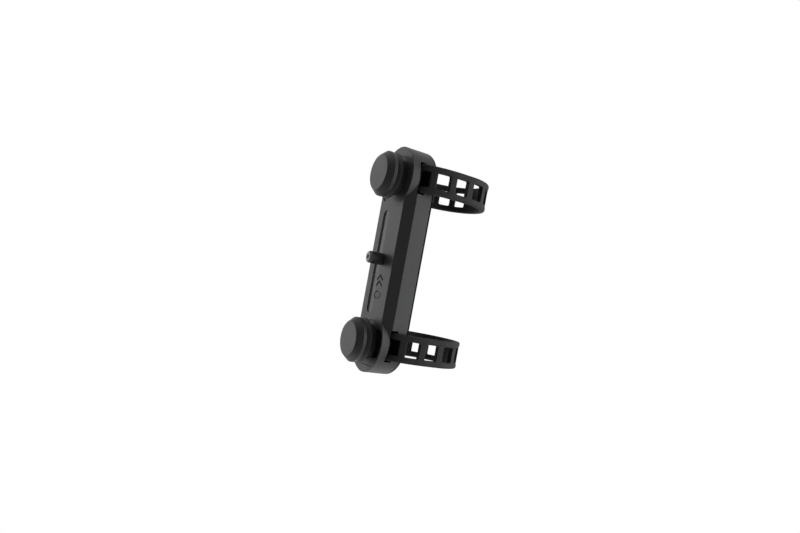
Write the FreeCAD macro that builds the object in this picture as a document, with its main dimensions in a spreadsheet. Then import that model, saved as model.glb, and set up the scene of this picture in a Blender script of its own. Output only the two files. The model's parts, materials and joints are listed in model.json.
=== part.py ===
"""Bottle mount base: a moulded bar with a magnetic knob at each end, strapped to a frame tube.

Millimetres. X points right along the base's width, Y points back from the base to the tube,
and Z runs up along the tube. The origin is on the tube's axis, midway between the knobs.
"""
import FreeCAD, Part
import math
import os
import Sketcher

doc = FreeCAD.newDocument("bottle_mount_base")

# Driving dimensions: name, value, meaning
DRIVING = [
    ("tube_radius", 20.0, "radius of the frame tube that the straps clamp"),
    ("saddle_angle", 6.7, "slope of each side of the V-shaped back, in degrees"),
    ("rubber_thickness", 1.0, "thickness of the rubber saddle"),
    ("knob_spacing", 90.0, "distance between the two knob axes"),
    ("pad_radius", 16.8, "radius of the round pads, and half the width of the bar"),
    ("base_depth", 13.1, "from the tube's surface to the flat front of the bar and the pads"),
    ("bevel_width", 4.2, "bevel along each front corner of the bar, across the front"),
    ("bevel_depth", 5.0, "bevel along each front corner of the bar, down the side"),
    ("edge_bevel", 0.2, "bevel along the pads' front edge"),
    ("side_wall", 1.1, "wall of the housing beside the rear plate"),
    ("front_wall", 2.4, "wall of the housing behind the flat front of the bar"),
    ("plate_thickness", 1.6, "thickness of the rear plate"),
    ("fit_gap", 0.1, "clearance between pieces that slide together"),
    ("bay_half_length", 26.5, "half the length of the hollow inside the bar"),
    ("bay_half_width", 12.4, "half the width of the hollow inside the bar"),
    ("rib_thickness", 1.6, "thickness of the ribs across the hollow"),
    ("rib_place", 13.0, "distance of each cross rib from the middle of the bar"),
    ("shelf_depth", 0.6, "depth of the recess round each knob"),
    ("shelf_rim", 0.9, "rim left standing between the recess and the side of the pad"),
    ("shelf_peak", 11.9, "height of the recess above the knob axis, in the middle"),
    ("shelf_shoulder", 8.3, "height of the recess above the knob axis, at the rim"),
    ("shelf_drop", 12.6, "reach of the recess below the knob axis"),
    ("floor_thickness", 3.9, "wall between the recess and the strap chamber"),
    ("window_half_height", 7.5, "half the height of the windows beside each knob"),
    ("window_inner", 6.9, "distance of the windows' inner edge from the knob axis"),
    ("slot_half_height", 8.5, "half the height of the strap slots"),
    ("slot_width", 4.0, "width of the strap slots, from front to back"),
    ("slot_flare", 2.0, "slope of the flare behind the strap, at the outside of each slot"),
    ("relief_depth", 3.0, "depth of the opening behind the first window of each strap"),
    ("relief_half_height", 5.2, "half the height of that opening"),
    ("strap_height", 15.0, "height of the straps"),
    ("strap_thickness", 3.0, "thickness of the straps"),
    ("strap_slack", 0.3, "room behind the straps in their slots"),
    ("strap_edge", 0.7, "bevel along the straps' long edges"),
    ("strap_straight", 6.7, "how far the straps run straight past the tube's widest point"),
    ("strap_bend", 3.4, "radius of the bend in each slot, to the middle of the strap"),
    ("bend_inset", 2.4, "where the bend starts, inside the side of the pad"),
    ("tail_inset", 8.0, "where the loose end stops, inside the side of the pad"),
    ("anchor_inset", 5.6, "middle of the anchor bead, inside the side of the pad"),
    ("bead_radius", 2.6, "radius of the bead at the anchored end of the strap"),
    ("bead_shift", 0.4, "how far the bead stands behind the middle of the strap"),
    ("ladder_pitch", 11.0, "distance between the windows of the straps"),
    ("ladder_window", 7.2, "length of each window of the straps"),
    ("ladder_height", 8.5, "height of each window of the straps"),
    ("ladder_start", 4.4, "start of the first window, inside the side of the pad"),
    ("ladder_count", 6, "number of windows in each strap, from its loose end"),
    ("catch_thickness", 1.5, "thickness of the plate of each strap catch"),
    ("catch_width", 4.4, "width of the plate of each strap catch"),
    ("tooth_reach", 3.2, "how far the catch's tooth reaches through the strap"),
    ("tooth_width", 0.7, "thickness of the catch's tooth"),
    ("tooth_half_height", 2.6, "half the height of the catch's tooth"),
    ("face_radius", 9.8, "radius of the flat face of the knobs"),
    ("knob_height", 11.4, "how far the knobs stand out of the pads"),
    ("cap_slope", 3.2, "height of the sloping side of the knob caps"),
    ("rim_radius", 12.2, "radius of the rim of the knob caps"),
    ("rim_width", 1.8, "width of the rim of the knob caps"),
    ("groove_radius", 10.4, "radius at the bottom of the groove behind the rim"),
    ("groove_width", 0.6, "width of the groove behind the rim"),
    ("collar_top_radius", 11.0, "radius of the collar at the groove"),
    ("collar_radius", 12.5, "largest radius of the collar"),
    ("collar_height", 2.3, "from the back of the cap to the widest part of the collar"),
    ("collar_lip", 0.6, "thickness of the collar's lip at its edge"),
    ("neck_radius", 9.5, "radius of the neck under the collar"),
    ("foot_radius", 4.0, "radius of the foot that goes through the housing"),
    ("foot_gap", 0.2, "how far the foot stops short of the washer"),
    ("cap_wall", 1.4, "wall of the cap in front of the magnet"),
    ("magnet_radius", 8.4, "outer radius of the ring magnet"),
    ("magnet_hole", 2.8, "radius of the magnet's hole"),
    ("yoke_thickness", 1.1, "thickness of the steel yoke behind the magnet"),
    ("boss_radius", 2.6, "radius of the threaded boss inside the cap"),
    ("screw_radius", 1.25, "radius of the knob screws' shank"),
    ("screw_clearance", 0.3, "clearance of the collar and the washer round the screw"),
    ("screw_head_radius", 2.9, "radius of the knob screws' head"),
    ("screw_head", 1.9, "height of the knob screws' head"),
    ("screw_tip_gap", 0.4, "room between the knob screws' tip and the end of their hole"),
    ("washer_radius", 6.5, "radius of the washer under the screw head"),
    ("washer_thickness", 1.2, "thickness of the washer under the screw head"),
    ("pin_radius", 3.3, "radius of the centre pin"),
    ("pin_length", 8.5, "how far the centre pin stands out of the bar"),
    ("pin_stem_radius", 2.0, "radius of the pin's stem inside the bar"),
    ("pin_stem_length", 3.4, "length of the pin's stem inside the bar"),
    ("pin_dimple", 1.2, "radius of the dimple in the pin's tip"),
    ("groove_left", -7.2, "left edge of the long recess on the bar's front"),
    ("groove_foot", -6.7, "deepest line of the long recess"),
    ("groove_break", -4.4, "line where the long recess gets flatter"),
    ("groove_right", -1.0, "right edge of the long recess"),
    ("groove_deep", 0.75, "depth of the long recess"),
    ("groove_shallow", 0.3, "depth of the long recess where it gets flatter"),
    ("groove_up", 27.0, "upper end of the long recess"),
    ("groove_down", -29.6, "lower end of the long recess"),
    ("mark_depth", 0.4, "depth of the marks on the bar's front"),
    ("mark_x", 2.3, "middle of the marks, right of the middle of the bar"),
    ("chevron_half_width", 3.3, "half the width of each chevron"),
    ("chevron_rise", 2.5, "how far each chevron's point stands above its ends"),
    ("chevron_stroke", 1.2, "height of each chevron's stroke"),
    ("chevron_z", -10.5, "ends of the upper chevron, from the middle of the bar"),
    ("chevron_pitch", 3.25, "distance between the two chevrons"),
    ("ring_mark_z", -19.3, "middle of the long ring under the chevrons"),
    ("ring_mark_radius", 2.0, "half the height of the long ring"),
    ("ring_mark_half_length", 3.4, "half the length of the long ring, across the bar"),
    ("ring_mark_stroke", 0.6, "width of the ring's stroke"),
    ("grip_depth", 0.35, "depth of the grip grooves across the saddle"),
    ("grip_width", 1.4, "width of the grip grooves"),
    ("grip_pitch", 7.0, "distance between the grip grooves"),
    ("grip_rim", 2.2, "plain rim of the saddle outside the grip grooves"),
    ("plate_screw_x", 7.5, "sideways place of the rear plate's screws"),
    ("plate_screw_z", 20.0, "place of the rear plate's screws along the bar"),
    ("plate_screw_radius", 1.0, "radius of the rear plate screws' shank"),
    ("plate_screw_length", 6.0, "length of the rear plate screws under the head"),
    ("plate_head_radius", 2.0, "radius of the rear plate screws' head"),
    ("plate_head", 0.8, "height of the rear plate screws' head"),
    ("plate_boss_radius", 2.8, "radius of the bosses for the rear plate's screws"),
]


class Size:
    """A number together with the sheet expression that gives it."""

    def __init__(self, number, text):
        self.number = number
        self.text = text

    def __float__(self):
        return float(self.number)

    def __neg__(self):
        return Size(-self.number, "(-" + self.text + ")")

    def __add__(self, other):
        return combine(self, "+", other, float(self) + float(other))

    def __sub__(self, other):
        return combine(self, "-", other, float(self) - float(other))

    def __rsub__(self, other):
        return combine(other, "-", self, float(other) - float(self))

    def __mul__(self, other):
        return combine(self, "*", other, float(self) * float(other))

    def __truediv__(self, other):
        return combine(self, "/", other, float(self) / float(other))

    def __rtruediv__(self, other):
        return combine(other, "/", self, float(other) / float(self))

    __radd__ = __add__
    __rmul__ = __mul__


def wording(value):
    """Expression text of a size or of a plain number."""
    return value.text if isinstance(value, Size) else repr(value)


def combine(first, sign, second, number):
    """Size made of two values and the sign between them."""
    return Size(number, "(" + wording(first) + " " + sign + " " + wording(second) + ")")


def make_sheet():
    """Spreadsheet of the driving dimensions, and a Size for each of its cells."""
    table = doc.addObject("Spreadsheet::Sheet", "Sizes")
    sizes = {}
    for row, (name, value, meaning) in enumerate(DRIVING, start=1):
        table.set("A%d" % row, meaning)
        table.set("B%d" % row, str(value))
        table.setAlias("B%d" % row, name)
        sizes[name] = Size(value, "Sizes." + name)
    doc.recompute()
    return sizes


D = make_sheet()
SLOPE = Size(math.tan(math.radians(float(D["saddle_angle"]))), "tan(Sizes.saddle_angle * 1deg)")
COSINE = Size(math.cos(math.radians(float(D["saddle_angle"]))), "cos(Sizes.saddle_angle * 1deg)")
FRONT = -(D["tube_radius"] + D["base_depth"])
KNOB_Z = D["knob_spacing"] / 2
ZERO = Size(0.0, "0")
SHELF_Y = FRONT + D["shelf_depth"]
CHAMBER_Y = SHELF_Y + D["floor_thickness"]
SLOT_Y = CHAMBER_Y + D["fit_gap"]
FACE_Y = FRONT - D["knob_height"]
RIM_Y = FACE_Y + D["cap_slope"]
SEAT_Y = RIM_Y + D["rim_width"]


def saddle_ridge(thickness):
    """Y of the V's ridge, for a layer of this thickness in front of the tube."""
    return -(D["tube_radius"] + thickness) / COSINE


RUBBER_RIDGE = saddle_ridge(0.0)
HOUSING_RIDGE = saddle_ridge(D["rubber_thickness"])
PLATE_RIDGE = saddle_ridge(D["rubber_thickness"] + D["plate_thickness"])


def bind(thing, **properties):
    """Tie properties to the sheet, or set those that are plain values."""
    for name, value in properties.items():
        if isinstance(value, Size):
            thing.setExpression(name, value.text)
        else:
            setattr(thing, name, value)
    return thing


def place(thing, x=0.0, y=0.0, z=0.0):
    """Move a thing to a place given by sizes."""
    for axis, value in (("x", x), ("y", y), ("z", z)):
        thing.setExpression("Placement.Base." + axis, wording(value))
    return thing


def box(name, x, y, z):
    """Block between a low and a high value along each axis."""
    block = doc.addObject("Part::Box", name)
    bind(block, Length=x[1] - x[0], Width=y[1] - y[0], Height=z[1] - z[0])
    return place(block, x[0], y[0], z[0])


def rod(name, radius, y, x=0.0, z=0.0):
    """Round bar along Y between a low and a high value."""
    bar = doc.addObject("Part::Cylinder", name)
    bar.Placement = FreeCAD.Placement(FreeCAD.Vector(), FreeCAD.Rotation(FreeCAD.Vector(1, 0, 0), -90))
    bind(bar, Radius=radius, Height=y[1] - y[0])
    return place(bar, x, y[0], z)


def tie_outline(sketch, points):
    """Closed run of straight lines whose corners are tied to sizes."""
    count = len(points)
    spots = [FreeCAD.Vector(float(x), float(y), 0) for x, y in points]
    for index in range(count):
        sketch.addGeometry(Part.LineSegment(spots[index], spots[(index + 1) % count]), False)
    for index in range(count):
        sketch.addConstraint(Sketcher.Constraint("Coincident", index, 2, (index + 1) % count, 1))
    for index, (x, y) in enumerate(points):
        for kind, value in (("DistanceX", x), ("DistanceY", y)):
            rule = Sketcher.Constraint(kind, -1, 1, index, 1, float(value))
            number = sketch.addConstraint(rule)
            if isinstance(value, Size):
                sketch.setExpression("Constraints[%d]" % number, value.text)


def prism(name, points, low, high, turned=False):
    """Straight-sided block: an outline in X and Y drawn out along Z, or in X and Z along Y."""
    sketch = doc.addObject("Sketcher::SketchObject", name + "_outline")
    if turned:
        sketch.Placement = FreeCAD.Placement(FreeCAD.Vector(), FreeCAD.Rotation(FreeCAD.Vector(1, 0, 0), 90))
        place(sketch, 0.0, low, 0.0)
    else:
        place(sketch, 0.0, 0.0, low)
    tie_outline(sketch, points)
    block = doc.addObject("Part::Extrusion", name)
    block.Base = sketch
    block.DirMode = "Custom"
    block.Dir = FreeCAD.Vector(0, 1, 0) if turned else FreeCAD.Vector(0, 0, 1)
    block.Solid = True
    return bind(block, LengthFwd=high - low)


def fuse(name, pieces):
    """One solid out of several that touch or overlap."""
    joined = doc.addObject("Part::MultiFuse", name)
    joined.Shapes = pieces
    joined.Refine = True
    return joined


def common(name, pieces):
    """What several solids share."""
    shared = doc.addObject("Part::MultiCommon", name)
    shared.Shapes = pieces
    return shared


def cut(name, base, tools):
    """A solid less its tools."""
    left = doc.addObject("Part::Cut", name)
    left.Base = base
    left.Tool = tools[0] if len(tools) == 1 else fuse(name + "_tools", tools)
    left.Refine = True
    return left


def bevel_edges(name, base, width, chosen):
    """Bevel those edges of a thing that a rule chooses."""
    doc.recompute()
    numbers = [index for index, edge in enumerate(base.Shape.Edges, start=1) if chosen(edge)]
    bevelled = doc.addObject("Part::Chamfer", name)
    bevelled.Base = base
    bevelled.Edges = [(index, float(width), float(width)) for index in numbers]
    return bevelled


def obround(name, radius, y):
    """Long block with round ends: the outline of the base, drawn out along Y."""
    middle = box(name + "_middle", (-radius, radius), y, (-KNOB_Z, KNOB_Z))
    ends = [rod(name + "_end_%d" % side, radius, y, z=KNOB_Z * side) for side in (1, -1)]
    return fuse(name, [middle] + ends)


def saddle_slab(name, front, back):
    """V-shaped slab across the whole base, between two ridge lines."""
    wide = D["pad_radius"] + 4.0
    rise = SLOPE * wide
    points = [(-wide, front + rise), (0.0, front), (wide, front + rise)]
    points += [(wide, back + rise), (0.0, back), (-wide, back + rise)]
    high = KNOB_Z + D["pad_radius"] + 4.0
    return prism(name, points, -high, high)


def turned(label, profile, z):
    """Turned piece: a profile of radius and Y, revolved about the knob or pin axis."""
    body = doc.addObject("PartDesign::Body", label)
    plane = [part for part in body.Origin.OriginFeatures if part.Role == "XY_Plane"][0]
    sketch = body.newObject("Sketcher::SketchObject", label + "_profile")
    sketch.AttachmentSupport = (plane, [""])
    sketch.MapMode = "FlatFace"
    tie_outline(sketch, profile)
    turn = body.newObject("PartDesign::Revolution", label + "_turn")
    turn.Profile = sketch
    turn.ReferenceAxis = (sketch, ["V_Axis"])
    turn.Angle = 360.0
    sketch.Visibility = False
    return place(body, 0.0, 0.0, z)


def make_shelf(name, z):
    """Recess round a knob, peaked at the top and kept inside the rim of the pad."""
    reach = D["pad_radius"] - D["shelf_rim"]
    top = [(-reach, z + D["shelf_shoulder"]), (0.0, z + D["shelf_peak"]), (reach, z + D["shelf_shoulder"])]
    base = [(reach, z - D["shelf_drop"]), (-reach, z - D["shelf_drop"])]
    block = prism(name + "_block", top + base, FRONT - 1.0, SHELF_Y, turned=True)
    ring = rod(name + "_ring", reach, (FRONT - 1.0, SHELF_Y), z=z)
    return common(name, [block, ring])


def make_windows(name, z, front):
    """Two windows beside a knob, from a given depth into the strap chamber."""
    windows = []
    reach = D["pad_radius"] - D["shelf_rim"]
    for side, word in ((1, "right"), (-1, "left")):
        near, far = D["window_inner"] * side, (reach - 0.2) * side
        x = (near, far) if side > 0 else (far, near)
        height = (z - D["window_half_height"], z + D["window_half_height"])
        windows.append(box(name + "_" + word, x, (front, CHAMBER_Y + 0.5), height))
    ring = rod(name + "_ring", reach - 0.1, (front, CHAMBER_Y + 0.5), z=z)
    return common(name, [fuse(name + "_pair", windows), ring])


def make_chamber(name, z):
    """Strap chamber behind a knob, open at the back, with a slot through each side."""
    half = D["pad_radius"] - D["side_wall"]
    height = (z - D["slot_half_height"], z + D["slot_half_height"])
    room = box(name + "_room", (-half + 0.2, half - 0.2), (CHAMBER_Y, ZERO), height)
    ring = rod(name + "_ring", half, (CHAMBER_Y, ZERO), z=z)
    wide = D["pad_radius"] + 2.0
    slot_back = SLOT_Y + D["slot_width"]
    slot = box(name + "_slot", (-wide, wide), (SLOT_Y, slot_back), height)
    narrow = half - 0.4
    flare_end = slot_back + (wide - narrow) * D["slot_flare"]
    reach = D["strap_height"] / 2 + D["fit_gap"]
    flare = [(-wide, slot_back - 0.5), (wide, slot_back - 0.5), (wide, flare_end), (narrow, slot_back)]
    flare += [(-narrow, slot_back), (-wide, flare_end)]
    return [common(name + "_hollow", [room, ring]), slot, prism(name + "_flare", flare, z - reach, z + reach)]


def make_relief(name, z):
    """Opening through the right side, behind the first window of a strap."""
    slot_back = SLOT_Y + D["slot_width"]
    x = (D["pad_radius"] - D["side_wall"] - 1.5, D["pad_radius"] + 2.0)
    height = (z - D["relief_half_height"], z + D["relief_half_height"])
    return box(name, x, (slot_back - 0.5, slot_back + D["relief_depth"]), height)


def stadium(name, radius, x, z, y):
    """Block with round ends, standing along Z between two heights and drawn out along Y."""
    ends = (z[0] + radius, z[1] - radius)
    pieces = [rod(name + "_end_%d" % index, radius, y, x, end) for index, end in enumerate(ends)]
    pieces.append(box(name + "_run", (x - radius, x + radius), y, ends))
    return fuse(name, pieces)


def lying_stadium(name, radius, x, y):
    """Block with round ends, lying across the bar at the height of the long ring."""
    z = D["ring_mark_z"]
    ends = (x[0] + radius, x[1] - radius)
    pieces = [rod(name + "_end_%d" % index, radius, y, end, z) for index, end in enumerate(ends)]
    pieces.append(box(name + "_run", ends, y, (z - radius, z + radius)))
    return fuse(name, pieces)


def make_marks():
    """Two chevrons that point up and a long ring under them, sunk into the bar's front."""
    x, wide = D["mark_x"], D["chevron_half_width"]
    rise, stroke = D["chevron_rise"], D["chevron_stroke"]
    depth = (FRONT - 1.0, FRONT + D["mark_depth"])
    marks = []
    for index in range(2):
        z = D["chevron_z"] - D["chevron_pitch"] * index
        points = [(x - wide, z), (x, z + rise), (x + wide, z)]
        points += [(x + wide, z - stroke), (x, z + rise - stroke), (x - wide, z - stroke)]
        marks.append(prism("chevron_%d" % index, points, depth[0], depth[1], turned=True))
    rings = []
    for word, inset in (("outside", ZERO), ("inside", D["ring_mark_stroke"])):
        reach = D["ring_mark_half_length"] - inset
        sides = (x - reach, x + reach)
        rings.append(lying_stadium("ring_mark_" + word, D["ring_mark_radius"] - inset, sides, depth))
    marks.append(cut("ring_mark", rings[0], rings[1:]))
    return marks


def make_long_recess():
    """Long recess on the front of the bar: steep on the left, flatter and flatter to the right."""
    ahead = FRONT - 1.0
    left, foot, bend, right = (D["groove_" + word] for word in ("left", "foot", "break", "right"))
    floor = FRONT + D["groove_deep"]
    points = [(foot, floor), (bend, FRONT + D["groove_shallow"])]
    points.append((right + (right - bend) / D["groove_shallow"], ahead))
    points.append((left - (foot - left) / D["groove_deep"], ahead))
    wedge = prism("long_recess_wedge", points, D["groove_down"], D["groove_up"])
    reach = (D["groove_down"], D["groove_up"])
    outline = stadium("long_recess_outline", (right - left) / 2, (right + left) / 2, reach, (ahead, floor + 1.0))
    return common("long_recess", [wedge, outline])


def is_front_edge(edge):
    """True for an edge that lies in the plane of the flat front."""
    return all(abs(point.Point.y - float(FRONT)) < 0.001 for point in edge.Vertexes)


def make_housing():
    """Moulded housing: bar and round pads in one, hollow at the back."""
    half = D["pad_radius"]
    flat = half - D["bevel_width"]
    bevel_foot = FRONT + D["bevel_depth"]
    back = HOUSING_RIDGE + SLOPE * half
    profile = [(-flat, FRONT), (flat, FRONT), (half, bevel_foot), (half, back)]
    profile += [(0.0, HOUSING_RIDGE), (-half, back), (-half, bevel_foot)]
    bar = prism("housing_bar", profile, -KNOB_Z, KNOB_Z)
    deep = (FRONT, ZERO)
    pads = [rod("housing_pad_%d" % side, half, deep, z=KNOB_Z * side) for side in (1, -1)]
    pads = [bevel_edges(pad.Name + "_bevelled", pad, D["edge_bevel"], is_front_edge) for pad in pads]
    block = fuse("housing_block", [bar] + pads)
    tools = [saddle_slab("housing_back", HOUSING_RIDGE, ZERO + 10.0)]
    seat = obround("plate_seat_outline", half - D["side_wall"], (FRONT, ZERO))
    tools.append(common("plate_seat", [seat, saddle_slab("plate_seat_slab", PLATE_RIDGE, ZERO + 10.0)]))
    bay_y = (FRONT + D["front_wall"], ZERO)
    wide = (-D["bay_half_width"], D["bay_half_width"])
    bay = box("bar_bay", wide, bay_y, (-D["bay_half_length"], D["bay_half_length"]))
    rib = D["rib_thickness"] / 2
    ribs = [box("bar_rib_%d" % side, wide, bay_y, (D["rib_place"] * side - rib, D["rib_place"] * side + rib))
            for side in (1, 0, -1)]
    bosses = [rod("plate_boss_%d" % index, D["plate_boss_radius"], bay_y, x, z)
              for index, (x, z) in enumerate(plate_screw_places())]
    pin_boss = rod("pin_boss", D["pin_radius"] + 1.5, bay_y)
    tools.append(cut("bar_hollow", bay, ribs + bosses + [pin_boss]))
    pilot_y = (PLATE_RIDGE - D["plate_screw_length"], ZERO)
    tools += [rod("plate_pilot_%d" % index, D["plate_screw_radius"] + 0.05, pilot_y, x, z)
              for index, (x, z) in enumerate(plate_screw_places())]
    tools.append(rod("pin_hole", D["pin_stem_radius"] + D["fit_gap"], (FRONT - 1.0, ZERO)))
    tools.append(make_long_recess())
    tools += make_marks()
    blind = CHAMBER_Y - D["catch_thickness"] - D["fit_gap"]
    for word, side, window_front in (("upper", 1, blind), ("lower", -1, SHELF_Y - 0.5)):
        z = KNOB_Z * side
        tools.append(make_shelf(word + "_shelf", z))
        tools.append(make_windows(word + "_windows", z, window_front))
        tools += make_chamber(word + "_chamber", z)
        tools.append(make_relief(word + "_relief", z))
        foot = D["foot_radius"] + D["fit_gap"]
        tools.append(rod(word + "_foot_hole", foot, (SHELF_Y - 0.5, CHAMBER_Y + 0.5), z=z))
    return cut("base_housing", block, tools)


def plate_screw_places():
    """Sideways and lengthwise place of each rear plate screw."""
    x, z = D["plate_screw_x"], D["plate_screw_z"]
    return [(x, z), (-x, z), (-x, -z), (x, -z)]


def make_rear_plate():
    """Plate that closes the back of the housing."""
    radius = D["pad_radius"] - D["side_wall"] - D["fit_gap"]
    outline = obround("rear_plate_outline", radius, (FRONT, ZERO))
    slab = saddle_slab("rear_plate_slab", PLATE_RIDGE, HOUSING_RIDGE)
    blank = common("rear_plate_blank", [outline, slab])
    holes = []
    for index, (x, z) in enumerate(plate_screw_places()):
        surface = HOUSING_RIDGE + SLOPE * D["plate_screw_x"]
        sunk = surface - D["plate_head"] - 0.3
        clear = D["plate_screw_radius"] + 0.2
        holes.append(rod("plate_hole_%d" % index, clear, (FRONT, ZERO), x, z))
        holes.append(rod("plate_sink_%d" % index, D["plate_head_radius"] + 0.2, (sunk, ZERO), x, z))
    return cut("rear_plate", blank, holes)


def make_plate_screws():
    """Four small screws that hold the rear plate, as one group of separate solids."""
    surface = HOUSING_RIDGE + SLOPE * D["plate_screw_x"]
    seat = surface - D["plate_head"] - 0.3
    screws = []
    for index, (x, z) in enumerate(plate_screw_places()):
        head = rod("plate_screw_head_%d" % index, D["plate_head_radius"], (seat, seat + D["plate_head"]), x, z)
        tip = seat - D["plate_screw_length"]
        shank = rod("plate_screw_shank_%d" % index, D["plate_screw_radius"], (tip, seat), x, z)
        screws.append(fuse("plate_screw_%d" % index, [head, shank]))
    group = doc.addObject("Part::Compound", "rear_plate_screws")
    group.Links = screws
    return group


def make_saddle():
    """Rubber saddle that lies against the tube."""
    outline = obround("saddle_outline", D["pad_radius"], (FRONT, ZERO))
    slab = saddle_slab("saddle_slab", HOUSING_RIDGE, RUBBER_RIDGE)
    blank = common("saddle_blank", [outline, slab])
    wide = D["pad_radius"] + 2.0
    half = D["grip_width"] / 2
    lines = [box("grip_line_%d" % (index + 8), (-wide, wide), (FRONT, ZERO),
                 (D["grip_pitch"] * index - half, D["grip_pitch"] * index + half)) for index in range(-8, 9)]
    skin = saddle_slab("grip_skin", RUBBER_RIDGE - D["grip_depth"], ZERO)
    field = obround("grip_field", D["pad_radius"] - D["grip_rim"], (FRONT, ZERO))
    grooves = common("grip_grooves", [fuse("grip_lines", lines), skin, field])
    return cut("rubber_saddle", blank, [grooves])


def make_centre_pin():
    """Plug-in pin in the middle of the bar, with a dimple in its rounded tip."""
    radius, tip = D["pin_radius"], FRONT - D["pin_length"]
    dimple = D["pin_dimple"]
    stem = D["pin_stem_radius"]
    end = FRONT + D["pin_stem_length"]
    profile = [(0.0, tip + 1.0), (dimple * 0.5, tip + 0.9), (dimple, tip)]
    profile += [(radius * 0.72, tip), (radius * 0.93, tip + 0.45), (radius, tip + 1.3)]
    profile += [(radius, FRONT - 0.7), (radius - 0.4, FRONT), (stem, FRONT)]
    profile += [(stem, end - 0.6), (stem - 0.5, end), (0.0, end)]
    return turned("centre_pin", profile, 0.0)


def make_knob(word, side):
    """Knob of one end: cap, ring magnet, yoke, collar, washer and the screw that joins them."""
    z = KNOB_Z * side
    inside = FACE_Y + D["cap_wall"]
    seat = SEAT_Y
    pilot = D["screw_radius"] + 0.05
    cavity = D["magnet_radius"] + D["fit_gap"]
    cap = [(0.0, FACE_Y), (D["face_radius"] - 0.4, FACE_Y)]
    cap += [(D["face_radius"], FACE_Y + 0.35), (D["rim_radius"], RIM_Y)]
    cap += [(D["rim_radius"], seat), (cavity, seat), (cavity, inside), (D["boss_radius"], inside)]
    cap += [(D["boss_radius"], seat), (pilot, seat), (pilot, inside + 0.2), (0.0, inside + 0.2)]
    turned(word + "_knob_cap", cap, z)
    yoke_front = seat - D["yoke_thickness"]
    outer, hole = D["magnet_radius"], D["magnet_hole"]
    magnet = [(hole, yoke_front), (outer, yoke_front), (outer, inside), (hole, inside)]
    turned(word + "_knob_magnet", magnet, z)
    yoke = [(hole, seat), (outer, seat), (outer, yoke_front), (hole, yoke_front)]
    turned(word + "_knob_yoke", yoke, z)
    bore = D["screw_radius"] + D["screw_clearance"]
    groove_back = seat + D["groove_width"]
    collar_front = seat + D["collar_height"]
    foot_end = CHAMBER_Y - D["foot_gap"]
    collar = [(bore, seat), (D["groove_radius"], seat), (D["groove_radius"], groove_back)]
    collar += [(D["collar_top_radius"], groove_back), (D["collar_radius"], collar_front)]
    collar += [(D["collar_radius"], collar_front + D["collar_lip"])]
    collar += [(D["neck_radius"], collar_front + D["collar_lip"]), (D["neck_radius"], SHELF_Y)]
    collar += [(D["foot_radius"], SHELF_Y), (D["foot_radius"], foot_end), (bore, foot_end)]
    turned(word + "_knob_collar", collar, z)
    washer_back = CHAMBER_Y + D["washer_thickness"]
    washer = [(bore, CHAMBER_Y), (D["washer_radius"], CHAMBER_Y)]
    washer += [(D["washer_radius"], washer_back), (bore, washer_back)]
    turned(word + "_knob_washer", washer, z)
    shank = D["screw_radius"]
    head_back = washer_back + D["screw_head"]
    tip = inside + 0.2 + D["screw_tip_gap"]
    screw = [(0.0, tip), (shank * 0.6, tip), (shank, tip + 0.6)]
    screw += [(shank, washer_back), (D["screw_head_radius"], washer_back)]
    screw += [(D["screw_head_radius"], head_back - 0.3), (D["screw_head_radius"] - 0.3, head_back)]
    screw += [(1.0, head_back), (1.0, head_back - 1.0), (0.0, head_back - 1.0)]
    turned(word + "_knob_screw", screw, z)


def make_catch(word, side):
    """Strap catch: a plate in the right window whose tooth reaches through the strap."""
    z = KNOB_Z * side
    reach = D["pad_radius"] - D["shelf_rim"] - 0.4
    half = D["window_half_height"] - D["fit_gap"] * 2
    plate_y = (CHAMBER_Y - D["catch_thickness"], CHAMBER_Y)
    plate = box(word + "_catch_plate", (reach - D["catch_width"], reach), plate_y, (z - half, z + half))
    ring = rod(word + "_catch_ring", reach, plate_y, z=z)
    tooth_x = D["pad_radius"] - D["ladder_start"] + D["fit_gap"]
    tooth_z = (z - D["tooth_half_height"], z + D["tooth_half_height"])
    tooth_y = (plate_y[0] + 0.2, CHAMBER_Y + D["tooth_reach"])
    tooth = box(word + "_catch_tooth", (tooth_x, tooth_x + D["tooth_width"]), tooth_y, tooth_z)
    return fuse(word + "_strap_catch", [common(word + "_catch_flat", [plate, ring]), tooth])


def strap_route():
    """Right half of the middle line of a strap: bend radii, centres and heading."""
    middle = float(D["tube_radius"]) + float(D["strap_thickness"]) / 2
    depth = float(SLOT_Y + D["slot_width"] - D["strap_slack"] - D["strap_thickness"] / 2)
    bend = float(D["strap_bend"])
    start = float(D["pad_radius"]) - float(D["bend_inset"])
    straight = float(D["strap_straight"])
    ahead = -straight - depth - bend
    aside = middle - start - bend
    heading = math.pi / 2 - 2 * math.atan2(aside, ahead)
    sweep = ahead / math.cos(heading) + bend
    return middle, depth, bend, start, straight, heading, sweep


def arc_between(centre, radius, first, last):
    """Arc about a centre, from one angle to another."""
    angles = (first, (first + last) / 2, last)
    spots = [centre + FreeCAD.Vector(math.cos(a), math.sin(a), 0) * radius for a in angles]
    return Part.Arc(*spots).toShape()


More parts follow.
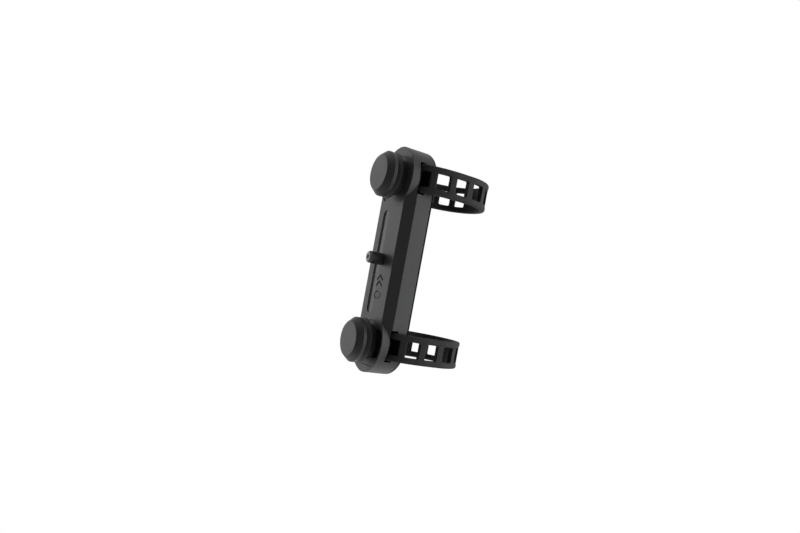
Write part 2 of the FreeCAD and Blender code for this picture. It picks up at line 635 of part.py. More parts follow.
def strap_side(offset):
    """Edges of one face of a strap, from its loose end round the tube to its anchored end."""
    middle, depth, bend, start, straight, heading, sweep = strap_route()
    quarter = math.pi / 2
    bend_centre = FreeCAD.Vector(start, depth + bend, 0)
    sweep_centre = FreeCAD.Vector(middle - sweep, -straight, 0)
    tail = float(D["pad_radius"]) - float(D["tail_inset"])
    anchor = float(D["pad_radius"]) - float(D["anchor_inset"])
    outer = depth - offset
    edges = [Part.makeLine((tail, outer, 0), (start, outer, 0))]
    edges.append(arc_between(bend_centre, bend + offset, -quarter, heading - quarter))
    edges.append(arc_between(sweep_centre, sweep + offset, heading - quarter, 0.0))
    edges.append(Part.makeLine((middle + offset, -straight, 0), (middle + offset, 0, 0)))
    edges.append(arc_between(FreeCAD.Vector(), middle + offset, 0.0, math.pi))
    edges.append(Part.makeLine((-middle - offset, 0, 0), (-middle - offset, -straight, 0)))
    mirrored = FreeCAD.Vector(sweep - middle, -straight, 0)
    edges.append(arc_between(mirrored, sweep + offset, math.pi, math.pi + quarter - heading))
    mirrored = FreeCAD.Vector(-start, depth + bend, 0)
    edges.append(arc_between(mirrored, bend + offset, math.pi + quarter - heading, math.pi + quarter))
    edges.append(Part.makeLine((-start, outer, 0), (-anchor, outer, 0)))
    return edges


def strap_point(distance):
    """Place and heading on the middle line, at a distance from the loose end."""
    left = distance
    edges = strap_side(0.0)
    for edge in edges:
        if left <= edge.Length or edge is edges[-1]:
            break
        left -= edge.Length
    place_on = edge.getParameterByLength(left)
    return edge.valueAt(place_on), edge.tangentAt(place_on)


def strap_window(distance):
    """Block that cuts one window of a strap, with both ends square to the strap."""
    height = float(D["ladder_height"])
    deep = float(D["strap_thickness"]) * 0.8
    outside, inside = [], []
    for step in (0.0, 0.2, 0.4, 0.6, 0.8, 1.0):
        spot, heading = strap_point(distance + float(D["ladder_window"]) * step)
        across = FreeCAD.Vector(heading.y, -heading.x, 0) * deep
        low = spot - FreeCAD.Vector(0, 0, height / 2)
        outside.append(low + across)
        inside.append(low - across)
    outline = Part.makePolygon(outside + inside[::-1] + outside[:1])
    return Part.Face(outline).extrude(FreeCAD.Vector(0, 0, height))


def make_strap(word, side):
    """Elastic ladder strap: a band round the tube with windows, and a bead at its anchored end."""
    half = float(D["strap_thickness"]) / 2
    outer, inner = strap_side(half), strap_side(-half)
    first = Part.makeLine(inner[0].Vertexes[0].Point, outer[0].Vertexes[0].Point)
    last = Part.makeLine(outer[-1].Vertexes[-1].Point, inner[-1].Vertexes[-1].Point)
    outline = Part.Wire(Part.__sortEdges__([first] + outer + [last] + inner))
    height = float(D["strap_height"])
    band = Part.Face(outline).extrude(FreeCAD.Vector(0, 0, height))
    band.translate(FreeCAD.Vector(0, 0, -height / 2))
    rims = [edge for edge in band.Edges if abs(abs(edge.CenterOfMass.z) - height / 2) < 0.01]
    long_rims = [edge for edge in rims if edge.Length > float(D["strap_thickness"]) * 1.05]
    band = band.makeChamfer(float(D["strap_edge"]), long_rims)
    first_window = float(D["tail_inset"]) - float(D["ladder_start"])
    windows = [strap_window(first_window + float(D["ladder_pitch"]) * index)
               for index in range(int(float(D["ladder_count"])))]
    band = band.cut(Part.makeCompound(windows))
    anchor = float(D["pad_radius"]) - float(D["anchor_inset"])
    spot = FreeCAD.Vector(-anchor, strap_route()[1] + float(D["bead_shift"]), -height / 2)
    bead = Part.makeCylinder(float(D["bead_radius"]), height, spot)
    band = band.fuse(bead).removeSplitter()
    strap = doc.addObject("Part::Feature", word + "_strap")
    strap.Shape = band
    return place(strap, z=KNOB_Z * side)


def check_objects():
    """Stop at the first object that failed to build."""
    for thing in doc.Objects:
        if "Invalid" in thing.State or "Error" in thing.State:
            raise RuntimeError(thing.Label + " failed: " + str(thing.State))


def write_nodes(labels):
    """Check each piece's shape and write it to its own file."""
    os.makedirs("parts", exist_ok=True)
    for label in labels:
        shape = doc.getObject(label).Shape
        if shape.isNull() or not shape.isValid() or not shape.Solids:
            raise RuntimeError(label + " has no valid solid")
        shape.exportStep("parts/" + label + ".step")
        low, high = shape.BoundBox, shape.BoundBox
        print("%-20s solids %d volume %9.1f  z %.1f..%.1f  y %.1f..%.1f" % (
            label, len(shape.Solids), shape.Volume, low.ZMin, high.ZMax, low.YMin, high.YMax))


make_housing()
make_rear_plate()
make_plate_screws()
make_saddle()
make_centre_pin()
nodes = ["base_housing", "rear_plate", "rear_plate_screws", "rubber_saddle", "centre_pin"]
for end, direction in (("upper", 1), ("lower", -1)):
    make_knob(end, direction)
    make_catch(end, direction)
    make_strap(end, direction)
    nodes += [end + "_knob_" + piece for piece in ("cap", "magnet", "yoke", "collar", "washer", "screw")]
    nodes += [end + "_strap_catch", end + "_strap"]
doc.recompute()
check_objects()
write_nodes(nodes)
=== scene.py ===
"""Bottle mount base: rubber straps and saddle, finishes, studio and camera round the model."""
import json
import math

import bmesh
import bpy
from mathutils import Matrix, Vector


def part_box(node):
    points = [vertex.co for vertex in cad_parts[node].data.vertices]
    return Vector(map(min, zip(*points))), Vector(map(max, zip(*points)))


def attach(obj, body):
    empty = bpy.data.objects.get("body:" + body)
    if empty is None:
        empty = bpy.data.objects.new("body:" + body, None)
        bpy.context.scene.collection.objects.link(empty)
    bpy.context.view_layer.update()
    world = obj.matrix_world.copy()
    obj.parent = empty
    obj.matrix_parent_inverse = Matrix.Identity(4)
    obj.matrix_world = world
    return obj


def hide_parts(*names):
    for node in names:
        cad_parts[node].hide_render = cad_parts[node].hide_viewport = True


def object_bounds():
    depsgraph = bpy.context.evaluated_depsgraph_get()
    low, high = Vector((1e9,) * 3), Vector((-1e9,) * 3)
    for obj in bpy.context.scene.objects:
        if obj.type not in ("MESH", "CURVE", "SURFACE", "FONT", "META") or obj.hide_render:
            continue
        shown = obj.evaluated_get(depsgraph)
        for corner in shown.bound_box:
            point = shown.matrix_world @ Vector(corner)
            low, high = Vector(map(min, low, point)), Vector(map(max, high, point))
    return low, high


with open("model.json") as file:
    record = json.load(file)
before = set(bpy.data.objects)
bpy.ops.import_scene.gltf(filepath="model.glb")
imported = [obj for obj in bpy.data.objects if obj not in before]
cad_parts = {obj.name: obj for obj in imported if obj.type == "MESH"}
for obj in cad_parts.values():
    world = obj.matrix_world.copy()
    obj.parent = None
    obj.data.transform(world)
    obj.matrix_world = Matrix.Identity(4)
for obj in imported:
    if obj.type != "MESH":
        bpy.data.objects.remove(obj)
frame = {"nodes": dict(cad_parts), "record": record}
cad_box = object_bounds()

MM = 0.001

# Sizes of the straps, in millimetres
TUBE_RADIUS = 20.0
STRAP_THICKNESS = 3.0
STRAP_HALF_HEIGHT = 7.5
STRAP_STRAIGHT = 6.7
STRAP_BEND = 3.4
STRAP_DEPTH = -26.3
BEND_START = 14.4
LOOSE_END = 8.8
BEAD_PLACE = 11.2
BEAD_RADIUS = 2.6
BEAD_SHIFT = 0.4
WINDOW_HALF_HEIGHT = 4.25
WINDOW_CORNER = 0.65
RIM_FOOT = 5.3
PANEL_EDGE = 4.95
PANEL_DEPTH = 0.25
PANEL = (1.7, 115.1)
WINDOW_SHOULDER = (PANEL_EDGE + WINDOW_HALF_HEIGHT - WINDOW_CORNER) / 2

# Windows in a strap's pulled half and in its bead half: first start, length, rung and count
LADDERS = [(3.6, 7.2, 3.8, 6), (77.2, 6.5, 3.4, 4)]

# Longest steps of the straps' mesh and slack at the panel's ends, in millimetres
WINDOW_STEP = 0.8
PLAIN_STEP = 1.2
ACROSS_STEP = 2.5
SLACK = 0.01

# Angles of the points round a window's corner, in degrees, and sides of the bead
CORNER_ANGLES = (67.5, 45.0, 22.5)
BEAD_SIDES = 32

# Sizes of the saddle, in millimetres, and its slope
SADDLE_SLOPE = math.tan(math.radians(6.7))
GRIP_PITCH = 7.0
GRIP_HALF_WIDTH = 0.7
GRIP_DEPTH = 0.35
GRIP_SLANT = 0.25
GRIP_RIM = 2.2
RIM_DRAFT = 0.6
TIP = 0.1

# Lines of the saddle's mesh, as shares of its half width and in degrees round its ends
GRIP_REACH = 0.87
GRIP_END = 0.01
SADDLE_LINES = (0.0, 0.3, 0.6, GRIP_REACH - GRIP_END, GRIP_REACH + GRIP_END, 1.0)
ARC_STEP = 6

# Rounding of the rubber's edges, in millimetres, and the share of it that lesser edges get
STRAP_ROUNDING = 0.9
SADDLE_ROUNDING = 0.2
WINDOW_SHARE = 0.35
BEAD_SHARE = 0.6

# Steps of a rounded edge, and the angle from which an edge is shaded sharp
ROUNDING_STEPS = 3
SHARP_ANGLE = math.radians(38.0)

# Sizes of the finishes' textures, in metres
COARSE_GRAIN = 0.00035
FINE_GRAIN = 0.0003
PLASTIC_CLOUDS = 0.011
RUBBED_SPOTS = 0.0022
RUBBER_PEBBLES = 0.0005
RUBBER_BLOOM = 0.006
TOOL_MARKS = 0.0002
METAL_CLOUDS = 0.003

# Depths of their relief and the rounding of the plastic's edges, in metres
GRAIN_DEPTH = 0.000008
PEBBLE_DEPTH = 0.000012
TOOL_MARK_DEPTH = 0.000004
PLASTIC_ROUNDING = 0.00025

# Lightness of patches against the plain colour, how much the rubbed spots show, and gloss
CLOUD_CONTRAST = 0.08
RUBBED_LIGHT = 1.6
RUBBED_SHARE = 0.12
CLEAN_LIGHT = 0.88
BLOOM_LIGHT = 1.25
DULL_LIGHT = 0.82
PLASTIC_GLOSS = 0.12
RUBBER_GLOSS = 0.06

# Spans of the marks and of the recess's steep wall on the bar, in metres, and how light each is
# painted
MARKS = ((-0.0013, 0.0059), (-0.03306, -0.03264), (-0.0216, -0.0066))
# The marks' colour is painted shade: their engraved floors are darkened in the base colour
MARKS_PAINTED_SHADE = 0.1
STEEP_WALL = ((-0.0073, -0.00665), (-0.03306, -0.0320), (-0.0300, 0.0275))
# The steep wall's colour is a painted highlight, lighter than the bar to stand in for light on it
STEEP_WALL_PAINTED_LIGHT = 3.0

# Lamps: azimuth and elevation in degrees, distance, width and height in metres, power in watts
LAMPS = {
    "left_box": (-60.0, -6.0, 1.0, 0.9, 1.4, 7.2),
    "right_box": (143.0, -2.0, 1.0, 0.5, 1.4, 32.0),
    "top_box": (-20.0, 78.0, 1.0, 1.0, 1.0, 4.6),
    "low_box": (0.0, -85.0, 0.33, 0.4, 0.4, 0.95),
}
WHITE = (1.0, 1.0, 1.0, 1.0)
AMBIENT = 0.08

# Floor: drop below the part, half its side and fade to white, in metres, its grey and first white
FLOOR_DROP = 0.3
FLOOR_REACH = 6.0
FLOOR_GREY = 0.35
FLOOR_FADE = (0.15, 0.6)
FLOOR_WHITE = 0.8

# Camera: lens, sensor and place in millimetres, shift in picture widths, clipping in metres
LENS = 28.496
SENSOR_WIDTH = 36.0
CAMERA_SHIFT = (-0.0287, 0.0521)
CAMERA_CLIP = (0.01, 50.0)
CAMERA_PLACE = Vector((304.623, -193.136, -17.566))
CAMERA_RIGHT = Vector((0.5216, 0.8336, 0.18175))
CAMERA_UP = Vector((-0.10753, -0.1471, 0.98326))


class Socket:
    """One output of a node, with the maths that can be done on it."""

    def __init__(self, finish, link):
        self.finish = finish
        self.link = link

    def maths(self, operation, *others, clamp=False):
        """Result of a Math node on this value and others."""
        return self.finish.node("ShaderNodeMath", {"operation": operation, "use_clamp": clamp},
                                dict(enumerate((self,) + others)))

    def __add__(self, other):
        return self.maths("ADD", other)

    def __mul__(self, other):
        return self.maths("MULTIPLY", other)

    __radd__ = __add__
    __rmul__ = __mul__

    def ramp(self, low, high, first=0.0, last=1.0):
        """Maps low..high to first..last and stays inside."""
        return self.finish.node("ShaderNodeMapRange", {"clamp": True},
                                {"Value": self, "From Min": low, "From Max": high,
                                 "To Min": first, "To Max": last})


class Finish:
    """A material under construction."""

    def __init__(self, name):
        self.material = bpy.data.materials.new(name)
        self.material.use_nodes = True
        self.tree = self.material.node_tree
        self.shader = self.tree.nodes["Principled BSDF"]

    def node(self, kind, settings=None, inputs=None, output=0):
        """Adds a node: its settings first, then the values or links of its sockets."""
        made = self.tree.nodes.new(kind)
        for key, value in (settings or {}).items():
            setattr(made, key, value)
        for key, value in (inputs or {}).items():
            self.feed(made.inputs[key], value)
        return Socket(self, made.outputs[output])

    def feed(self, target, value):
        """Links a socket or sets a plain value."""
        if isinstance(value, Socket):
            self.tree.links.new(value.link, target)
        else:
            target.default_value = value

    def place(self, stretch=None):
        """Place on the object, in metres, stretched along an axis if asked."""
        at = self.node("ShaderNodeTexCoord", output="Object")
        if stretch:
            at = self.node("ShaderNodeVectorMath", {"operation": "MULTIPLY"}, {0: at, 1: stretch})
        return at

    def noise(self, size, detail, roughness, stretch=None):
        """Noise whose blotches are about size metres across."""
        return self.node("ShaderNodeTexNoise", None,
                         {"Vector": self.place(stretch), "Scale": 1.0 / size, "Detail": detail,
                          "Roughness": roughness})

    def cells(self, size):
        """Distance to the middle of the nearest cell, for cells about size metres across."""
        return self.node("ShaderNodeTexVoronoi", None,
                         {"Vector": self.place(), "Scale": 1.0 / size})

    def within(self, spans):
        """1 inside a box given by its spans along X, Y and Z, else 0."""
        inside = 1.0
        for axis, (first, last) in enumerate(spans):
            spot = self.node("ShaderNodeSeparateXYZ", None, {"Vector": self.place()}, axis)
            inside = spot.maths("COMPARE", (first + last) / 2, (last - first) / 2) * inside
        return inside

    def mix(self, factor, first, second):
        """Colour between two colours."""
        return self.node("ShaderNodeMix", {"data_type": "RGBA"},
                         {0: factor, 6: first, 7: second}, output=2)

    def soft_edges(self, radius):
        """Normal that rounds the edges of a moulded or turned piece."""
        return self.node("ShaderNodeBevel", {"samples": 6}, {"Radius": radius})

    def bump(self, height, distance, below=None):
        """Normal that follows a height of 0..1, distance metres deep."""
        inputs = {"Height": height, "Distance": distance}
        if below:
            inputs["Normal"] = below
        return self.node("ShaderNodeBump", None, inputs)

    def set(self, **values):
        """Sets or links sockets of the shader, named with underscores for spaces."""
        for key, value in values.items():
            self.feed(self.shader.inputs[key.replace("_", " ")], value)


def grey(level, warmth=0.0):
    """Near-neutral colour with a slight warm or cool lean."""
    return (level * (1 + warmth), level, level * (1 - warmth), 1.0)


def moulded_plastic(name, level, roughness, grain=COARSE_GRAIN, gloss=PLASTIC_GLOSS, painted_shade_and_highlight=False):
    """Spark-textured moulded plastic: fine grain, faint flow clouds, rubbed spots, and, if asked,
    painted shade in the marks and a painted highlight on the recess's steep wall.
    """
    finish = Finish(name)
    fine = finish.noise(grain, detail=2.0, roughness=0.6)
    clouds = finish.noise(PLASTIC_CLOUDS, detail=3.0, roughness=0.55)
    rubbed = finish.noise(RUBBED_SPOTS, detail=4.0, roughness=0.65).ramp(0.58, 0.75)
    shade = finish.mix(clouds.ramp(0.3, 0.7), grey(level * (1 - CLOUD_CONTRAST), warmth=-0.01),
                       grey(level * (1 + CLOUD_CONTRAST), warmth=-0.02))
    shade = finish.mix(rubbed * RUBBED_SHARE, shade, grey(level * RUBBED_LIGHT, warmth=-0.01))
    if painted_shade_and_highlight:
        # Painted shade darkens the floors of the engraved marks
        shade = finish.mix(finish.within(MARKS), shade, grey(level * MARKS_PAINTED_SHADE))
        # Painted highlight lightens the steep wall of the long recess
        shade = finish.mix(finish.within(STEEP_WALL), shade, grey(level * STEEP_WALL_PAINTED_LIGHT))
    dull = clouds.ramp(0.25, 0.75, roughness - 0.03, roughness + 0.04) + rubbed * 0.04
    finish.set(Base_Color=shade, Roughness=dull, Specular_IOR_Level=gloss,
               Normal=finish.bump(fine, GRAIN_DEPTH, finish.soft_edges(PLASTIC_ROUNDING)))
    return finish.material


def moulded_rubber(name, level, roughness):
    """Soft moulded rubber: pebbled skin and a dusty bloom in patches."""
    finish = Finish(name)
    pebbles = finish.cells(RUBBER_PEBBLES)
    bloom = finish.noise(RUBBER_BLOOM, detail=4.0, roughness=0.6).ramp(0.42, 0.72)
    shade = finish.mix(bloom, grey(level * CLEAN_LIGHT, warmth=-0.01),
                       grey(level * BLOOM_LIGHT, warmth=0.01))
    finish.set(Base_Color=shade, Roughness=bloom.ramp(0.0, 1.0, roughness - 0.03, roughness + 0.07),
               Specular_IOR_Level=RUBBER_GLOSS, Normal=finish.bump(pebbles, PEBBLE_DEPTH))
    return finish.material


def bare_metal(name, colour, roughness, stretch=None):
    """Plated or turned metal with fine tool marks."""
    finish = Finish(name)
    marks = finish.noise(TOOL_MARKS, detail=3.0, roughness=0.6, stretch=stretch)
    clouds = finish.noise(METAL_CLOUDS, detail=3.0, roughness=0.5)
    dull = tuple(part * DULL_LIGHT for part in colour[:3]) + (1.0,)
    finish.set(Base_Color=finish.mix(clouds.ramp(0.35, 0.7), colour, dull), Metallic=1.0,
               Roughness=marks.ramp(0.3, 0.7, roughness - 0.06, roughness + 0.08),
               Normal=finish.bump(marks, TOOL_MARK_DEPTH))
    return finish.material


# Finish of each material slot
finishes = {
    "housing": moulded_plastic("housing_grain", level=0.028, roughness=0.42, painted_shade_and_highlight=True),
    "plate": moulded_plastic("plate_grain", level=0.024, roughness=0.52),
    "knob": moulded_plastic("knob_grain", level=0.028, roughness=0.40, grain=FINE_GRAIN,
                            gloss=0.095),
    "collar": moulded_plastic("collar_grain", level=0.026, roughness=0.42, grain=FINE_GRAIN,
                              gloss=0.1),
    "pin": moulded_plastic("pin_grain", level=0.019, roughness=0.33, gloss=0.4),
    "saddle": moulded_rubber("saddle_rubber", level=0.010, roughness=0.75),
    "strap": moulded_rubber("strap_rubber", level=0.015, roughness=0.62),
    "magnet": bare_metal("nickel_plate", (0.66, 0.64, 0.60, 1.0), roughness=0.25),
    "steel": bare_metal("turned_steel", (0.56, 0.56, 0.57, 1.0), roughness=0.35,
                        stretch=(1.0, 8.0, 1.0)),
}
slots = {entry["node"]: entry["material_slot"] for entry in frame["record"]["subparts"]}
for name, node in frame["nodes"].items():
    node.data.materials.clear()
    node.data.materials.append(finishes[slots[name]])


class Skin:
    """A sheet of faces in two flat coordinates, made into a thick piece with walls all round."""

    def __init__(self):
        self.spots = []
        self.index = {}
        self.faces = []

    def spot(self, along, across):
        """Number of the corner at this place, made when it is new."""
        key = (round(along, 4), round(across, 4))
        if key not in self.index:
            self.index[key] = len(self.spots)
            self.spots.append(key)
        return self.index[key]

    def face(self, *corners):
        """Adds one face."""
        numbers = [self.spot(*corner) for corner in corners]
        if len(set(numbers)) > 2:
            self.faces.append(list(dict.fromkeys(numbers)))

    def grid(self, alongs, acrosses):
        """Adds a grid of faces between two lists of lines."""
        for first, second in zip(alongs, alongs[1:]):
            for low, high in zip(acrosses, acrosses[1:]):
                self.face((first, low), (second, low), (second, high), (first, high))

    def rims(self):
        """Edges that belong to one face only."""
        seen = {}
        for face in self.faces:
            for first, second in zip(face, face[1:] + face[:1]):
                seen.setdefault(frozenset((first, second)), []).append((first, second))
        return [edges[0] for edges in seen.values() if len(edges) == 1]

    def thicken(self, name, outer, inner, weigh):
        """Mesh whose two faces are placed by outer and inner, with bevel weights for its rims."""
        count = len(self.spots)
        corners = [outer(*spot) for spot in self.spots] + [inner(*spot) for spot in self.spots]
        faces = [tuple(face) for face in self.faces]
        faces += [tuple(count + number for number in reversed(face)) for face in self.faces]
        rims = self.rims()
        faces += [(second, first, first + count, second + count) for first, second in rims]
        mesh = bpy.data.meshes.new(name)
        mesh.from_pydata([corner * MM for corner in corners], [], faces)
        weights = {}
        for first, second in rims:
            weight = weigh(self.spots[first], self.spots[second])
            weights[frozenset((first, second))] = weight
            weights[frozenset((first + count, second + count))] = weight
        layer = mesh.attributes.new("bevel_weight_edge", "FLOAT", "EDGE")
        for edge in mesh.edges:
            layer.data[edge.index].value = weights.get(frozenset(edge.vertices), 0.0)
        return mesh


def shade_mesh(mesh):
    """Turns every face outwards and smooths all but the sharp edges."""
    work = bmesh.new()
    work.from_mesh(mesh)
    bmesh.ops.recalc_face_normals(work, faces=work.faces)
    work.to_mesh(mesh)
    work.free()
    mesh.shade_smooth()
    mesh.set_sharp_from_angle(angle=SHARP_ANGLE)


def show(name, mesh, slot, replaced, rounding, z=0.0):
    """Puts a rubber piece in the place of its plain solid, with its edges rounded."""
    piece = bpy.data.objects.new(name, mesh)
    bpy.context.scene.collection.objects.link(piece)
    piece.location.z = z * MM
    bevel = piece.modifiers.new("rounded_rims", "BEVEL")
    bevel.limit_method = "WEIGHT"
    bevel.width = rounding * MM
    bevel.segments = ROUNDING_STEPS
    weighted = piece.modifiers.new("even_shading", "WEIGHTED_NORMAL")
    weighted.keep_sharp = True
    mesh.materials.append(finishes[slot])
    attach(piece, "root")
    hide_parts(replaced)


def strap_runs():
    """Radius and length of each run of a strap's middle line, with no radius where straight."""
    middle = TUBE_RADIUS + STRAP_THICKNESS / 2
    ahead = -STRAP_STRAIGHT - STRAP_DEPTH - STRAP_BEND
    aside = middle - BEND_START - STRAP_BEND
    heading = math.pi / 2 - 2 * math.atan2(aside, ahead)
    sweep = ahead / math.cos(heading) + STRAP_BEND
    half = [(STRAP_BEND, STRAP_BEND * heading), (sweep, sweep * (math.pi / 2 - heading)),
            (None, STRAP_STRAIGHT)]
    return ([(None, BEND_START - LOOSE_END)] + half + [(middle, middle * math.pi)] + half[::-1]
            + [(None, BEND_START - BEAD_PLACE)])


STRAP_RUNS = strap_runs()
STRAP_LENGTH = sum(length for _, length in STRAP_RUNS)


def on_route(distance, outward):
    """Place at a distance along the strap and an offset out from its middle line."""
    x, y, turn = LOOSE_END, STRAP_DEPTH, 0.0
    for radius, length in STRAP_RUNS:
        step = min(distance, length)
        if radius is None:
            x += math.cos(turn) * step
            y += math.sin(turn) * step
        else:
            x += radius * (math.sin(turn + step / radius) - math.sin(turn))
            y -= radius * (math.cos(turn + step / radius) - math.cos(turn))
            turn += step / radius
        distance -= step
    return x + outward * math.sin(turn), y - outward * math.cos(turn)


def strap_outside(along, across):
    """Outer face of a strap: a shallow panel between two thicker rims."""
    between_rims = abs(across) < (RIM_FOOT + PANEL_EDGE) / 2
    sunk = between_rims and PANEL[0] - SLACK < along < PANEL[1] + SLACK
    x, y = on_route(along, STRAP_THICKNESS / 2 - (PANEL_DEPTH if sunk else 0.0))
    return Vector((x, y, across))


def strap_inside(along, across):
    """Inner face of a strap."""
    x, y = on_route(along, -STRAP_THICKNESS / 2)
    return Vector((x, y, across))


def spread(low, high, most):
    """Evenly spaced values from low to high, no further apart than most."""
    count = max(1, math.ceil((high - low) / most))
    return [low + (high - low) * index / count for index in range(count + 1)]


def window_corner(edge, outer, side, tier, order):
    """Points round one corner of a window, each paired with its place on the outline round it.

    side and tier, 1 or -1, say which corner it is along and across. With order -1 the points
    come in reverse.
    """
    outline = ((edge, PANEL_EDGE), (outer, PANEL_EDGE), (outer, WINDOW_SHOULDER))
    pairs = []
    for angle, (along, across) in zip(CORNER_ANGLES, outline):
        inward = WINDOW_CORNER * (1 - math.cos(math.radians(angle)))
        down = WINDOW_CORNER * (1 - math.sin(math.radians(angle)))
        hole = (edge - side * inward, tier * (WINDOW_HALF_HEIGHT - down))
        pairs.append((hole, (along, tier * across)))
    return pairs[::order]


def strap_cell(skin, start, near, far, end):
    """A rounded window from near to far, half a rung on each side of it, and the rims beside it."""
    top, flat = WINDOW_HALF_HEIGHT, WINDOW_HALF_HEIGHT - WINDOW_CORNER
    alongs = spread(near + WINDOW_CORNER, far - WINDOW_CORNER, WINDOW_STEP)
    acrosses = spread(-flat, flat, ACROSS_STEP)
    ring = [((s, top), (s, PANEL_EDGE)) for s in alongs]
    ring += window_corner(far, end, 1, 1, 1)
    ring += [((far, z), (end, z)) for z in reversed(acrosses)]
    ring += window_corner(far, end, 1, -1, -1)
    ring += [((s, -top), (s, -PANEL_EDGE)) for s in reversed(alongs)]
    ring += window_corner(near, start, -1, -1, 1)
    ring += [((near, z), (start, z)) for z in acrosses]
    ring += window_corner(near, start, -1, 1, -1)
    for (hole, outside), (next_hole, next_outside) in zip(ring, ring[1:] + ring[:1]):
        skin.face(hole, outside, next_outside, next_hole)
    stations = [start, near] + alongs + [far, end]
    skin.grid(stations, [PANEL_EDGE, RIM_FOOT, STRAP_HALF_HEIGHT])
    skin.grid(stations, [-STRAP_HALF_HEIGHT, -RIM_FOOT, -PANEL_EDGE])


def strap_weight(first, second):
    """Bevel weight of a rim: whole along the strap's edges, less round the windows and ends."""
    return 1.0 if abs(first[1]) == abs(second[1]) == STRAP_HALF_HEIGHT else WINDOW_SHARE


def add_bead(mesh):
    """Adds the round bead that anchors the strap, with its end rims rounded."""
    work = bmesh.new()
    work.from_mesh(mesh)
    spot = Vector((-BEAD_PLACE, STRAP_DEPTH + BEAD_SHIFT, 0.0)) * MM
    made = bmesh.ops.create_cone(work, cap_ends=True, segments=BEAD_SIDES, radius1=BEAD_RADIUS * MM,
                                 radius2=BEAD_RADIUS * MM, depth=2 * STRAP_HALF_HEIGHT * MM,
                                 matrix=Matrix.Translation(spot))
    layer = work.edges.layers.float["bevel_weight_edge"]
    for edge in {edge for corner in made["verts"] for edge in corner.link_edges}:
        level = abs(edge.verts[0].co.z - edge.verts[1].co.z) < BEAD_RADIUS * MM
        edge[layer] = BEAD_SHARE if level else 0.0
    work.to_mesh(mesh)
    work.free()


def make_strap_mesh():
    """Ladder strap from its loose end round the back to the bead that anchors it."""
    skin = Skin()
    flat = WINDOW_HALF_HEIGHT - WINDOW_CORNER
    lines = [-STRAP_HALF_HEIGHT, -RIM_FOOT, -PANEL_EDGE, -WINDOW_SHOULDER]
    lines += spread(-flat, flat, ACROSS_STEP)
    lines += [WINDOW_SHOULDER, PANEL_EDGE, RIM_FOOT, STRAP_HALF_HEIGHT]
    plain = 0.0
    for first, length, rung, count in LADDERS:
        skin.grid(spread(plain, first - rung / 2, PLAIN_STEP), lines)
        for index in range(count):
            near = first + (length + rung) * index
            plain = near + length + rung / 2
            strap_cell(skin, near - rung / 2, near, near + length, plain)
    skin.grid(spread(plain, STRAP_LENGTH, PLAIN_STEP), lines)
    mesh = skin.thicken("strap", strap_outside, strap_inside, strap_weight)
    add_bead(mesh)
    shade_mesh(mesh)
    return mesh


def make_straps():
    """Both straps, from the same mould."""
    for word in ("upper", "lower"):
        low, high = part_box(word + "_strap")
        show(word + "_strap_band", make_strap_mesh(), "strap", word + "_strap", STRAP_ROUNDING,
             z=(low.z + high.z) / 2 / MM)


def make_saddle():
    """V-shaped rubber saddle with grip grooves across it."""
    low, high = (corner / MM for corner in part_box("rubber_saddle"))
    radius = high.x
    end = high.z - radius
    front = low.y
    back = high.y - SADDLE_SLOPE * radius
    kept = 1.0 - RIM_DRAFT / radius

    def half_width(z):
        past = max(0.0, abs(z) - end)
        return math.sqrt(max(radius * radius - past * past, 0.0))

    def groove(z, across):
        off = abs((z + GRIP_PITCH / 2) % GRIP_PITCH - GRIP_PITCH / 2)
        inside = abs(across) < GRIP_REACH and abs(z) < high.z - GRIP_RIM
        return GRIP_DEPTH if inside and off < GRIP_HALF_WIDTH else 0.0

    def tube_side(along, across):
        x = across * half_width(along)
        return Vector((x, back + SADDLE_SLOPE * abs(x) - groove(along, across), along))

    def plate_side(along, across):
        past = max(0.0, abs(along) - end)
        x = across * half_width(along) * kept
        z = math.copysign(abs(along) - past * (1.0 - kept), along)
        return Vector((x, front + SADDLE_SLOPE * abs(x), z))

    levels = [0.0]
    for index in range(int(high.z / GRIP_PITCH) + 1):
        middle = GRIP_PITCH * index
        reach = (GRIP_HALF_WIDTH - GRIP_SLANT / 2, GRIP_HALF_WIDTH + GRIP_SLANT / 2)
        levels += [middle + side * step for side in (1, -1) for step in reach]
    levels += [end + radius * math.sin(math.radians(angle)) for angle in range(0, 90, ARC_STEP)]
    levels = sorted({round(level, 3) for level in levels if 0.0 <= level <= high.z - TIP})
    levels = [-level for level in levels[:0:-1]] + levels
    columns = [-share for share in SADDLE_LINES[:0:-1]] + list(SADDLE_LINES)
    skin = Skin()
    skin.grid(levels, columns)
    mesh = skin.thicken("saddle", tube_side, plate_side, lambda first, second: 1.0)
    shade_mesh(mesh)
    show("saddle_pad", mesh, "saddle", "rubber_saddle", SADDLE_ROUNDING)


def seen_white(finish):
    """1 for what the camera, gloss and glass see, and 0 for the light that falls on the object."""
    camera, gloss, glass = [finish.node("ShaderNodeLightPath", output=output)
                            for output in ("Is Camera Ray", "Is Glossy Ray", "Is Transmission Ray")]
    return (camera + gloss).maths("ADD", glass, clamp=True)


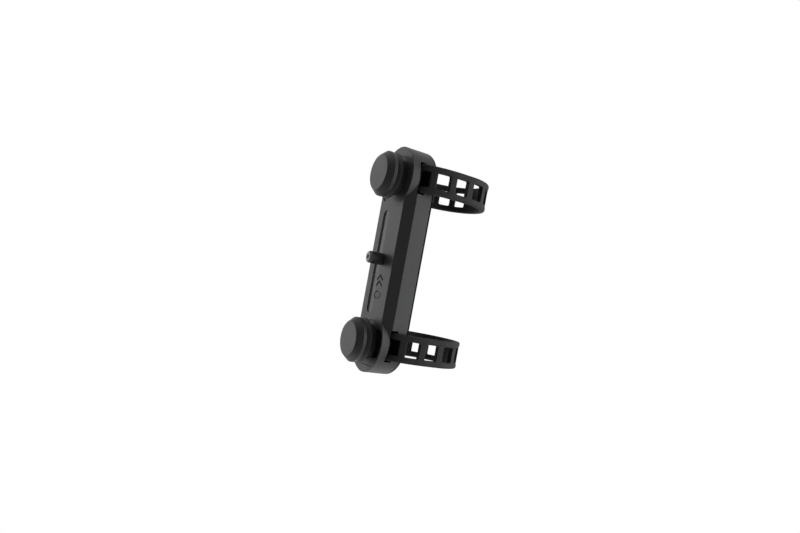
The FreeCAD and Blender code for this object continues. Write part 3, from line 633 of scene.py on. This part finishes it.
def make_floor(height):
    """Wide floor that the camera and gloss see as near white and that throws little light back."""
    mesh = bpy.data.meshes.new("floor")
    corners = [(x * FLOOR_REACH, y * FLOOR_REACH, height)
               for x, y in ((-1, -1), (1, -1), (1, 1), (-1, 1))]
    mesh.from_pydata(corners, [], [(0, 1, 2, 3)])
    floor = bpy.data.objects.new("floor", mesh)
    bpy.context.scene.collection.objects.link(floor)
    finish = Finish("pale_floor")
    finish.set(Base_Color=grey(FLOOR_GREY), Roughness=0.9, Specular_IOR_Level=0.1)
    white = finish.node("ShaderNodeEmission", None, {"Color": WHITE, "Strength": 1.0})
    away = finish.node("ShaderNodeVectorMath", {"operation": "LENGTH"}, {0: finish.place()},
                       output=1)
    blend = finish.node("ShaderNodeMixShader", None,
                        {0: seen_white(finish) * away.ramp(*FLOOR_FADE, FLOOR_WHITE, 1.0),
                         1: Socket(finish, finish.shader.outputs[0]), 2: white})
    finish.feed(finish.tree.nodes["Material Output"].inputs["Surface"], blend)
    mesh.materials.append(finish.material)


def soft_box(name, azimuth, elevation, distance, width, height, power):
    """Rectangular lamp that faces the middle of the object."""
    lamp = bpy.data.lights.new(name, "AREA")
    lamp.shape = "RECTANGLE"
    lamp.size, lamp.size_y = width, height
    lamp.energy = power
    turn, rise = math.radians(azimuth), math.radians(elevation)
    away = Vector((math.sin(turn) * math.cos(rise), -math.cos(turn) * math.cos(rise),
                   math.sin(rise)))
    holder = bpy.data.objects.new(name, lamp)
    holder.location = away * distance
    holder.rotation_euler = (-away).to_track_quat("-Z", "Y").to_euler()
    bpy.context.scene.collection.objects.link(holder)


class World(Finish):
    """The studio's surroundings, built like a material."""

    def __init__(self, name):
        self.world = bpy.data.worlds.new(name)
        self.world.use_nodes = True
        self.tree = self.world.node_tree
        self.shader = self.tree.nodes["Background"]
        bpy.context.scene.world = self.world


def make_world():
    """White to the camera and in gloss, a dim even grey to the object."""
    world = World("studio")
    world.set(Strength=seen_white(world).ramp(0.0, 1.0, AMBIENT, 1.0), Color=WHITE)


def make_camera():
    """Camera at the photograph's viewing angle, tilted as it was."""
    data = bpy.data.cameras.new("camera")
    data.lens = LENS
    data.sensor_width = SENSOR_WIDTH
    data.sensor_fit = "HORIZONTAL"
    data.shift_x, data.shift_y = CAMERA_SHIFT
    data.clip_start, data.clip_end = CAMERA_CLIP
    camera = bpy.data.objects.new("camera", data)
    turn = Matrix((CAMERA_RIGHT, CAMERA_UP, CAMERA_RIGHT.cross(CAMERA_UP))).transposed()
    camera.matrix_world = Matrix.Translation(CAMERA_PLACE * MM) @ turn.to_4x4()
    bpy.context.scene.collection.objects.link(camera)
    bpy.context.scene.camera = camera


make_straps()
make_saddle()
make_world()
make_floor(cad_box[0].z - FLOOR_DROP)
for name, values in LAMPS.items():
    soft_box(name, *values)
make_camera()
bpy.context.scene.view_settings.view_transform = "Standard"
